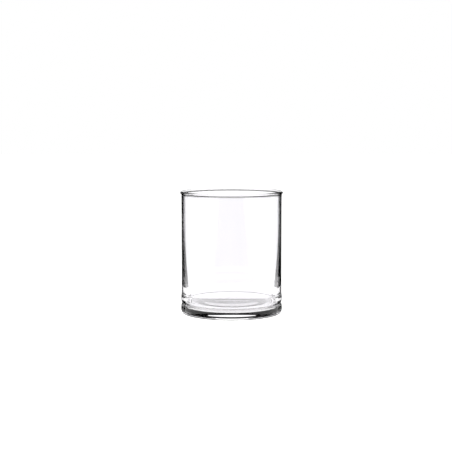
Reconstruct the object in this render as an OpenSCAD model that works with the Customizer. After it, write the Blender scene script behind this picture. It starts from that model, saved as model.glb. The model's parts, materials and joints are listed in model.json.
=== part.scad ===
// Glass cylinder vase
//
// Three zones of one clear glass vessel, each a solid of revolution about Z:
//   rim_bead    the fire-polished bead round the mouth
//   side_wall   the tall wall, thin at the mouth and thicker towards its rounded foot
//   base_disc   the thick disc below the groove, with the floor, the shoulder and the heel
// The origin is the centre of the underside, and +Z points up out of the mouth.

/* [Overall] */
// Height from the underside to the crest of the rim bead
height = 120.4; // [110:0.2:140]
// Outside diameter over the rim bead
rim_d = 101; // [97:0.5:104]

/* [Mouth] */
// Thickness of the rim bead, from the inside of the mouth to its outermost point
bead_t = 2.8; // [2.5:0.1:3]
// How far the rim bead stands proud of the wall below it
bead_proud = 1.1; // [0.8:0.1:1.3]
// Height of the rim bead, over its thickest part
bead_height = 2.8; // [2.4:0.1:3]
// Depth of the straight, truly cylindrical stretch inside the mouth
mouth_depth = 31; // [16:1:40]

/* [Wall] */
// How much the waist is drawn in from the mouth, on the radius
waist_in = 0.2; // [0:0.1:0.6]
// Height at which the waist is narrowest
waist_z = 45; // [40:1:60]
// Thickness of the wall at its thick end, above the rounded corner of the floor
foot_wall = 3.9; // [3.5:0.1:5]
// Height of the widest point of the wall's rounded foot
foot_z = 14.8; // [14:0.2:18]

/* [Base] */
// Diameter of the base disc
base_d = 99.8; // [99:0.2:100.4]
// Thickness of the glass at the floor
floor_t = 6.6; // [5:0.1:8]
// Height of the groove between the base disc and the wall
groove_z = 11.3; // [10.5:0.1:12]
// Depth of the groove
groove_depth = 1.0; // [0.8:0.1:1.4]
// Width of the rounded heel, measured on the underside
heel_w = 2.7; // [2:0.1:4]
// Height of the rounded heel, measured up the side
heel_h = 4.7; // [3:0.1:5]

/* [Hidden] */
$fn = 180;

glass = [0.86, 0.92, 0.93, 0.45];
arc_steps = 16;   // straight steps in a quarter turn
curve_steps = 24; // straight steps along one of the wall's long curves

rim_r = rim_d / 2;
mouth_r = rim_r - bead_t;
mouth_low_z = height - mouth_depth;

bead_half_w = bead_t / 2;
bead_half_h = bead_height / 2;
bead_turn = 55; // how far the bead curls under, in degrees below its middle
neck_h = 2.4;   // height of the soft hollow that leads from the wall out to the bead
bead_mid_z = height - bead_half_h;
bead_end_r = mouth_r + bead_half_w * (1 + cos(bead_turn));
neck_top_z = bead_mid_z - bead_half_h * sin(bead_turn);
neck_z = neck_top_z - neck_h; // where the neck leaves the wall

wall_top_r = rim_r - bead_proud;
waist_r = wall_top_r - waist_in;
base_r = base_d / 2;
foot_r = base_r;
groove_r = base_r - groove_depth;
foot_blend_h = 7; // height over which the rounded foot eases back to the waist
foot_blend_z = foot_z + foot_blend_h;

corner_w = 3.2;                // width of the inside's rounded corner, measured on the floor
corner_h = groove_z - floor_t; // its height: the corner ends level with the groove
corner_r = waist_r - foot_wall;
floor_r = corner_r - corner_w;
thickening = 1.5; // above 1, the wall thickens faster towards its foot

shoulder_w = 0.65;   // rounding of the base disc's top edge, measured on its top
shoulder_drop = 1.6; // how far the top of that rounding lies below the middle of the groove
side_h = 0.1;        // upright stretch left between the shoulder and the heel
shoulder_z = groove_z - shoulder_drop;
shoulder_h = shoulder_z - heel_h - side_h;

// Points on an elliptical arc about [cr, cz], from angle a0 to a1, counted as [radius, height].
function arc(cr, cz, rr, rz, a0, a1) = [
    for (i = [0 : arc_steps])
        let (a = a0 + (a1 - a0) * i / arc_steps)
        [cr + rr * cos(a), cz + rz * sin(a)]
];

// A smooth fall from 1 to 0 while u goes from 0 to 1.
function ease_down(u) = (1 + cos(180 * u)) / 2;

// Outside radius of the wall at height z, above its rounded foot.
function waist_curve(z) = waist_r + waist_in * pow(max(0, z - waist_z) / (neck_z - waist_z), 2);
function foot_curve(z) =
    z < foot_blend_z ? (foot_r - waist_r) * ease_down((z - foot_z) / (foot_blend_z - foot_z)) : 0;
function outside_r(z) = waist_curve(z) + foot_curve(z);

// Inside radius of the wall at height z, between the mouth and the rounded corner.
function inside_r(z) =
    mouth_r - (mouth_r - corner_r) * pow((mouth_low_z - z) / (mouth_low_z - groove_z), thickening);

// Points along a curve that gives a radius for a height, without the first point.
function along(from_z, to_z, inner) = [
    for (i = [1 : curve_steps])
        let (z = from_z + (to_z - from_z) * i / curve_steps)
        [inner ? inside_r(z) : outside_r(z), z]
];

module rim_bead()
    color(glass)
        rotate_extrude()
            polygon(concat(
                [[mouth_r, neck_z]],
                // bead, from the inside of the mouth over the crest
                arc(mouth_r + bead_half_w, bead_mid_z, bead_half_w, bead_half_h, 180, -bead_turn),
                // neck, back in to the wall
                arc(bead_end_r, neck_z, bead_end_r - wall_top_r, neck_h, 90, 180)
            ));

module side_wall()
    color(glass)
        rotate_extrude()
            polygon(concat(
                // rounded foot, from the groove out to the widest point
                arc(groove_r, foot_z, foot_r - groove_r, foot_z - groove_z, -90, 0),
                // outside, upwards
                along(foot_z, foot_blend_z, false),
                along(foot_blend_z, neck_z, false),
                // straight stretch inside the mouth
                [[mouth_r, neck_z], [mouth_r, mouth_low_z]],
                // inside, downwards, as the wall thickens
                along(mouth_low_z, groove_z, true)
            ));

module base_disc()
    color(glass)
        rotate_extrude()
            polygon(concat(
                [[0, 0]],
                // heel
                arc(base_r - heel_w, heel_h, heel_w, heel_h, -90, 0),
                // shoulder
                arc(base_r - shoulder_w, shoulder_z - shoulder_h, shoulder_w, shoulder_h, 0, 90),
                // groove's lower flank, hollowed up to where the wall begins
                arc(base_r - shoulder_w, groove_z,
                    base_r - shoulder_w - groove_r, groove_z - shoulder_z, -90, -180),
                // rounded corner of the inside, down to the floor
                arc(floor_r, groove_z, corner_w, corner_h, 0, -90),
                [[0, floor_t]]
            ));

rim_bead();
side_wall();
base_disc();
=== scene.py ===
# %% [markdown]
# # A glass cylinder vase
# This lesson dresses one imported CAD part, a florist's cylinder vase, as clear glass.
# The CAD model fixes every size. Blender adds one unbroken skin of glass, a finish for it,
# and the kind of light that shows clear glass.
#
# The first cell loads the CAD model as a fixed frame.

import json
import math

import bpy
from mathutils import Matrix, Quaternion, Vector


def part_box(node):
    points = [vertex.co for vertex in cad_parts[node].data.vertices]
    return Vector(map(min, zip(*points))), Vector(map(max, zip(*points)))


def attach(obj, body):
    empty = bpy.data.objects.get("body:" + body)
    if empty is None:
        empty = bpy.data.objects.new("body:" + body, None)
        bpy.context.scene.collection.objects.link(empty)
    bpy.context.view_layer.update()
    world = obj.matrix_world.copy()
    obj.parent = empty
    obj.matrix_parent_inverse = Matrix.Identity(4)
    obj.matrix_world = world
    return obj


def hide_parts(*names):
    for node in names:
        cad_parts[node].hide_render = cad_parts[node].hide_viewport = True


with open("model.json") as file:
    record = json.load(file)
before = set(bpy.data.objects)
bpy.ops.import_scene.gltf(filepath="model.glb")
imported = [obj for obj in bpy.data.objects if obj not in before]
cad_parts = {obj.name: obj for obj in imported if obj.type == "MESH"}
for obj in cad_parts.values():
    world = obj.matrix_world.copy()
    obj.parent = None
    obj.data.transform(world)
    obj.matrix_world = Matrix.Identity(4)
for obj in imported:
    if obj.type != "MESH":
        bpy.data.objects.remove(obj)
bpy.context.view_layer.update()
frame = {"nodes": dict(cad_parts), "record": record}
MM = 0.001
print("CAD nodes:", ", ".join(sorted(frame["nodes"])))

# %% [markdown]
# ## Sizes
# The outermost sizes are read from the frame, so that they can't drift from the CAD model.
# The rest are the ones that the part's source is built on: the wall's thicknesses, the rounding of
# the corner inside, the groove and the heel. They are in millimetres, as a glassmaker gives them.

# %% Read the outer sizes from the frame, and name the rest
bead_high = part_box("rim_bead")[1]
disc_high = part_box("base_disc")[1]
wall_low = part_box("side_wall")[0]
mouth = next(m for m in frame["record"]["mounts"] if m["name"] == "mouth")

height = bead_high.z / MM
rim_r = bead_high.x / MM
base_r = disc_high.x / MM
groove_z = wall_low.z / MM
mouth_r = mouth["dims"]["r_mm"]

mouth_depth = 31  # straight stretch inside the mouth
bead_proud = 1.1  # how far the bead stands out from the wall
bead_half_h = 1.4
bead_turn = 55  # how far the bead curls under, in degrees below its middle
neck_h = 2.4  # soft hollow between wall and bead
waist_in = 0.2  # how far the waist is drawn in
waist_z = 45
foot_wall = 3.9  # the wall at its thick end
thickening = 1.5  # above 1, the wall thickens faster towards its foot
foot_z = 14.8  # widest point of the rounded foot
foot_blend = 7
floor_t = 6.6
corner_w = 3.2
groove_depth = 1
shoulder_w = 0.65
shoulder_h = 4.9
shoulder_drop = 1.6
heel_w = 2.7
heel_h = 4.7
print(f"height {height:.1f} mm, rim {2 * rim_r:.1f} mm, base {2 * base_r:.1f} mm across")

# %% [markdown]
# ## The profile
# A vase blown into a turning mould is round, so half of its cross-section says everything about it.
# Two small helpers draw that half: one gives points along an arc, and the other eases a curve from 1
# to 0 with no kink at either end. A profile is a list of points, each a radius and a height.

# %% Two helpers for drawing curves
CURVE_STEPS = 40


def arc(centre_r, centre_z, half_w, half_h, start, end):
    """Points on an ellipse's arc, from one angle in degrees to another."""
    angles = [math.radians(start + (end - start) * i / CURVE_STEPS) for i in range(CURVE_STEPS + 1)]
    return [(centre_r + half_w * math.cos(a), centre_z + half_h * math.sin(a)) for a in angles]


def ease_down(u):
    """1 where u is 0, 0 where u is 1, and level at both."""
    return (1 + math.cos(math.pi * u)) / 2


def along(curve, z_from, z_to):
    """Points on a curve that gives a radius for a height, without the first point."""
    heights = [z_from + (z_to - z_from) * i / CURVE_STEPS for i in range(1, CURVE_STEPS + 1)]
    return [(curve(z), z) for z in heights]


# %% [markdown]
# ## The outside of the glass
# From the middle of the underside outwards and up: the flat face that it stands on, the heel, the
# base disc's rounded shoulder, the groove, the wall's rounded foot, the slightly waisted wall, and
# the bead that the flame leaves round the mouth. A soft hollow leads from the wall out to the bead,
# because glass that melts and draws together never leaves a sharp step.

# %% Draw the outside
bead_half_w = (rim_r - mouth_r) / 2
bead_mid_z = height - bead_half_h
turned = math.radians(bead_turn)
bead_end_r = mouth_r + bead_half_w * (1 + math.cos(turned))
neck_z = bead_mid_z - bead_half_h * math.sin(turned) - neck_h
wall_top_r = rim_r - bead_proud
waist_r = wall_top_r - waist_in
foot_r = base_r
foot_blend_z = foot_z + foot_blend
groove_r = base_r - groove_depth
shoulder_z = groove_z - shoulder_drop


def outside_r(z):
    """Outside radius of the wall, above its rounded foot."""
    rise = max(0, z - waist_z) / (neck_z - waist_z)
    radius = waist_r + waist_in * rise**2
    if z < foot_blend_z:
        radius += (foot_r - waist_r) * ease_down((z - foot_z) / (foot_blend_z - foot_z))
    return radius


shoulder_r = base_r - shoulder_w
outside = [(0, 0)]
outside += arc(base_r - heel_w, heel_h, heel_w, heel_h, -90, 0)
outside += arc(shoulder_r, shoulder_z - shoulder_h, shoulder_w, shoulder_h, 0, 90)
outside += arc(shoulder_r, groove_z, shoulder_r - groove_r, shoulder_drop, -90, -180)[1:]
outside += arc(groove_r, foot_z, foot_r - groove_r, foot_z - groove_z, -90, 0)[1:]
outside += along(outside_r, foot_z, foot_blend_z)
outside += along(outside_r, foot_blend_z, neck_z)
outside += arc(bead_end_r, neck_z, bead_end_r - wall_top_r, neck_h, 180, 90)[1:]
outside += arc(mouth_r + bead_half_w, bead_mid_z, bead_half_w, bead_half_h, -bead_turn, 180)
print(f"outside: {len(outside)} points")

# %% [markdown]
# ## The inside of the glass
# From the bead down: a truly cylindrical stretch, the wall as it thickens, the rounded corner,
# and the flat floor. The glass of such a vase is thin at the mouth and thick at the foot,
# because it was hottest and ran furthest there. That growing thickness is what widens the dark bands
# at the vase's sides towards the bottom.

# %% Draw the inside
mouth_low_z = height - mouth_depth
corner_h = groove_z - floor_t
corner_r = waist_r - foot_wall
floor_r = corner_r - corner_w


def inside_r(z):
    """Inside radius of the wall, between the mouth and the rounded corner."""
    down = (mouth_low_z - z) / (mouth_low_z - groove_z)
    return mouth_r - (mouth_r - corner_r) * down**thickening


inside = along(lambda z: mouth_r, bead_mid_z, mouth_low_z)
inside += along(inside_r, mouth_low_z, groove_z)
inside += arc(floor_r, groove_z, corner_w, corner_h, 0, -90)[1:]
inside += [(floor_r * (1 - i / CURVE_STEPS), floor_t) for i in range(1, CURVE_STEPS + 1)]
print(f"inside: {len(inside)} points")

# %% [markdown]
# ## Turning the profile into glass
# Blender's Screw modifier could turn the profile too. Built by hand, each point becomes a ring
# and two neighbouring rings are joined by a band of faces, with fans at the two poles. The result is
# one closed skin. It has to be one: if the bead, wall and base stayed three meshes, light would
# meet a hidden surface wherever two of them touch, and the eye would see it.

# %% Lathe the skin
AROUND = 256
ON_AXIS = 1e-6


def lathe(name, profile):
    """A closed mesh turned about Z from a profile that starts and ends on the axis."""
    vertices, rings, faces = [], [], []
    for radius, z in profile:
        count = 1 if radius < ON_AXIS else AROUND
        rings.append([len(vertices) + k for k in range(count)])
        turns = [2 * math.pi * k / AROUND for k in range(count)]
        vertices += [(radius * MM * math.cos(t), radius * MM * math.sin(t), z * MM) for t in turns]
    for lower, upper in zip(rings, rings[1:]):
        for k in range(AROUND):
            n = (k + 1) % AROUND
            below = [lower[k % len(lower)], lower[n % len(lower)]]
            above = [upper[n % len(upper)], upper[k % len(upper)]]
            faces.append(list(dict.fromkeys(below + above)))
    mesh = bpy.data.meshes.new(name)
    mesh.from_pydata(vertices, [], faces)
    mesh.shade_smooth()
    made = bpy.data.objects.new(name, mesh)
    bpy.context.scene.collection.objects.link(made)
    return made


vase = lathe("vase_glass", outside + inside)
print(f"skin: {len(vase.data.vertices)} vertices, {len(vase.data.polygons)} faces")

# %% [markdown]
# ## Writing shader maths as sums
# A material's nodes are easiest to read as a formula. `Wire` wraps one output socket, and its
# operators add Math nodes. `Wire.of` makes any other node: its settings first, then what goes into
# its sockets.

# %% A socket that can be added and multiplied
MIX_FIRST, MIX_SECOND, MIX_RESULT = 6, 7, 2  # where a Mix node keeps its colours


class Wire:
    """One output socket of a node tree, with arithmetic."""

    def __init__(self, tree, socket):
        self.tree = tree
        self.socket = socket

    @classmethod
    def of(cls, tree, kind, output=0, settings=None, **sockets):
        """Adds a node and returns a wire from one of its outputs."""
        node = tree.nodes.new(kind)
        for key, value in (settings or {}).items():
            setattr(node, key, value)
        for key, value in sockets.items():
            plug(tree, node.inputs[key.replace("_", " ")], value)
        return cls(tree, node.outputs[output])

    def math(self, operation, first, second):
        """Adds a Math node on two values or wires."""
        node = self.tree.nodes.new("ShaderNodeMath")
        node.operation = operation
        plug(self.tree, node.inputs[0], first)
        plug(self.tree, node.inputs[1], second)
        return Wire(self.tree, node.outputs[0])

    def __add__(self, other):
        return self.math("ADD", self, other)

    def __mul__(self, other):
        return self.math("MULTIPLY", self, other)

    def __rsub__(self, other):
        return self.math("SUBTRACT", other, self)

    __radd__ = __add__
    __rmul__ = __mul__


def plug(tree, socket, value):
    """Links a wire to a socket, or sets the socket's own value."""
    if isinstance(value, Wire):
        tree.links.new(value.socket, socket)
    else:
        socket.default_value = value


def blend(tree, factor, first, second):
    """A colour between two others."""
    mixed = Wire.of(tree, "ShaderNodeMix", MIX_RESULT, {"data_type": "RGBA"}, Factor=factor)
    plug(tree, mixed.socket.node.inputs[MIX_FIRST], first)
    plug(tree, mixed.socket.node.inputs[MIX_SECOND], second)
    return mixed


# %% [markdown]
# ## Clear glass
# Soda-lime glass is nearly colourless: it turns light by its index, 1.5. Glassmakers hide the iron's
# green with a little manganese or selenium, which leaves a breath of violet in the thick parts.
# What makes it look made rather than computed is how it was made: the blown wall carries long, faint
# waves that follow the pull of the glass up from the base, and the surface has a trace of haze where
# it has been handled.

# %% The glass's finish
glass = bpy.data.materials.new("clear_glass")
glass.use_nodes = True
tree = glass.node_tree
shader = tree.nodes["Principled BSDF"]

place = Wire.of(tree, "ShaderNodeTexCoord", output="Object")
waves_per_metre = (60, 60, 12)
drawn = Wire.of(tree, "ShaderNodeMapping", Vector=place, Scale=waves_per_metre)
waves = Wire.of(tree, "ShaderNodeTexNoise", Vector=drawn, Scale=1.0, Detail=1.0)
relief_height = 0.0002
relief_strength = 0.15
relief = Wire.of(
    tree, "ShaderNodeBump", Height=waves, Strength=relief_strength, Distance=relief_height
)
paler_tint = (0.988, 0.981, 0.994, 1)
deeper_tint = (0.976, 0.967, 0.987, 1)
tint = blend(tree, waves, paler_tint, deeper_tint)
most_haze = 0.006
handling = Wire.of(tree, "ShaderNodeTexNoise", Vector=place, Scale=90.0, Detail=3.0)

plug(tree, shader.inputs["Base Color"], tint)
plug(tree, shader.inputs["Roughness"], handling * most_haze)
plug(tree, shader.inputs["Normal"], relief)
shader.inputs["Transmission Weight"].default_value = 1
index = 1.5
shader.inputs["IOR"].default_value = index
vase.data.materials.append(glass)
print("glass nodes:", len(tree.nodes))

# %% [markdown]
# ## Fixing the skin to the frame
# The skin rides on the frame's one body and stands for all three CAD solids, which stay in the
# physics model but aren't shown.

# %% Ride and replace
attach(vase, "root")
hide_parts("rim_bead", "side_wall", "base_disc")
print("one skin stands for three solids")

# %% [markdown]
# ## The camera
# A long lens 1.2 m away looks down on the vase by a few degrees, so the rim and the floor both show as
# flat ellipses. The lens is set so that the vase fills less than half of the frame, and the camera
# turns slightly to put it right of the middle and below it.

# %% Place the camera
middle = Vector((0, 0, height * MM / 2))
tilt = math.radians(6.8)
distance = 1.2
back = Vector((0, -math.cos(tilt), math.sin(tilt)))
lens = bpy.data.cameras.new("long_lens")
lens.sensor_width = 36
focal_length = 97
lens.lens = focal_length
camera = bpy.data.objects.new("camera", lens)
bpy.context.scene.collection.objects.link(camera)
camera.location = middle + back * distance
vase_right = 0.00545
vase_below = 0.02557
to_right = Quaternion((0, 1, 0), math.atan(vase_right / distance))
to_below = Quaternion((1, 0, 0), math.atan(vase_below / distance))
camera.rotation_mode = "QUATERNION"
camera.rotation_quaternion = (-back).to_track_quat("-Z", "Y") @ to_right @ to_below
bpy.context.scene.camera = camera
print(f"camera at {distance} m, {math.degrees(tilt):.1f} degrees up")

# %% [markdown]
# ## Bright-field light
# Clear glass has no colour to light, so what is seen through it is lit instead. In a bright field
# the surroundings are plain white, and the glass is drawn by black cards just outside the view: its
# edges bend the sight line sideways until it meets a card, and turn dark. Where the glass is flat,
# the sight line goes straight on to the white. The white is a little brighter when seen through glass,
# to make up for the share that every surface of the glass turns away.

# %% White surroundings
world = bpy.data.worlds.new("white_studio")
bpy.context.scene.world = world
world.use_nodes = True
sky = world.node_tree.nodes["Background"]
sky.inputs["Color"].default_value = (1, 1, 1, 1)
sky_seen = 1.0
sky_in_glass = 1.2
seen = Wire.of(world.node_tree, "ShaderNodeLightPath", output="Is Camera Ray")
plug(world.node_tree, sky.inputs["Strength"], sky_in_glass - seen * (sky_in_glass - sky_seen))
bpy.context.scene.view_settings.view_transform = "Standard"
print(f"white: {sky_seen} seen directly, {sky_in_glass} through glass")

# %% [markdown]
# ## The floor
# The floor is a wide pale sheet that the camera sees. Seen through glass it would dim the whole
# base, so refracted sight lines pass it and meet the white below. Only a round table top under
# the vase is solid to them, and it draws faint rings through the thick base.

# %% Lay the floor and the table top
def flat_piece(name, corners, material, parent=None):
    """A flat stage piece from its corners."""
    mesh = bpy.data.meshes.new(name)
    mesh.from_pydata(corners, [], [tuple(range(len(corners)))])
    mesh.materials.append(material)
    made = bpy.data.objects.new(name, mesh)
    bpy.context.scene.collection.objects.link(made)
    made.parent = parent
    return made


def matt(name, tone, glow=0.0):
    """A plain matt surface for the stage."""
    made = bpy.data.materials.new(name)
    made.use_nodes = True
    sockets = made.node_tree.nodes["Principled BSDF"].inputs
    sockets["Base Color"].default_value = (tone, tone, tone, 1)
    sockets["Roughness"].default_value = 1
    sockets["Specular IOR Level"].default_value = 0
    sockets["Emission Color"].default_value = (1, 1, 1, 1)
    sockets["Emission Strength"].default_value = glow
    return made


floor_half = 4
floor_z = -0.0002
floor = flat_piece(
    "floor",
    [(x * floor_half, y * floor_half, floor_z) for x, y in ((-1, -1), (1, -1), (1, 1), (-1, 1))],
    matt("pale_floor", 0.9, glow=0.2),
)
floor.visible_transmission = False
floor.visible_glossy = False
table_r = 0.13
table_tone = 0.5
table_glow = 0.9
turns = [2 * math.pi * k / AROUND for k in range(AROUND)]
table = flat_piece(
    "table_top",
    [(table_r * math.cos(t), table_r * math.sin(t), floor_z / 2) for t in turns],
    matt("pale_table", table_tone, glow=table_glow),
)
table.visible_glossy = False
table.visible_camera = False
print(f"table top: {2 * table_r:.2f} m across")

# %% [markdown]
# ## Black cards
# Tall cards stand beside the line from camera to vase, one lies overhead and one hangs behind
# the camera. They are fixed to the camera, as on a turntable shoot where the vase turns and the
# cards stay, so the edges are drawn in the same way from every side. Each side card has a long slit
# at the vase's height. Through it the wall's glancing reflections see white, which keeps the wall
# clear right up to the dark line at its edge. The cards only exist for sight lines that the
# glass has bent or reflected.

# %% Hang the cards
black = matt("black_card", 0.0)
side_x = 1.04
card_bottom = -1.5
card_top = 0.7
card_near = 1.0
card_far = -6.0
slit_top = 0.08
slit_low = -0.3
slit_far = -2.1
over_far = -4.2
behind_z = 0.5


def card(name, corners):
    """A black card fixed to the camera, which only bent and reflected sight lines meet."""
    made = flat_piece(name, corners, black, camera)
    made.visible_camera = False
    made.visible_diffuse = False
    made.visible_shadow = False
    made.visible_volume_scatter = False
    return made


strips = {
    "far": (card_bottom, card_top, slit_far, card_far),
    "above": (slit_top, card_top, card_near, slit_far),
    "below": (card_bottom, slit_low, card_near, slit_far),
}
cards = [
    card(f"card_{side}_{part}", [(x, low, near), (x, high, near), (x, high, far), (x, low, far)])
    for side, x in (("left", -side_x), ("right", side_x))
    for part, (low, high, near, far) in strips.items()
]
cards.append(card("card_over", [
    (-side_x, card_top, card_near), (side_x, card_top, card_near),
    (side_x, card_top, over_far), (-side_x, card_top, over_far),
]))
cards.append(card("card_behind", [
    (-side_x, card_bottom, behind_z), (side_x, card_bottom, behind_z),
    (side_x, card_top, behind_z), (-side_x, card_top, behind_z),
]))
print("cards:", len(cards))

# %% [markdown]
# ## Long light paths
# Light that is caught in the wall bounces many times before it leaves. Cycles gives up early on such
# paths unless it is told not to, and leaves black specks.

# %% Let light bounce inside the glass
cycles = bpy.context.scene.cycles
bounces = 12
cycles.max_bounces = bounces
cycles.transmission_bounces = bounces
cycles.glossy_bounces = bounces
print("bounces:", bounces)
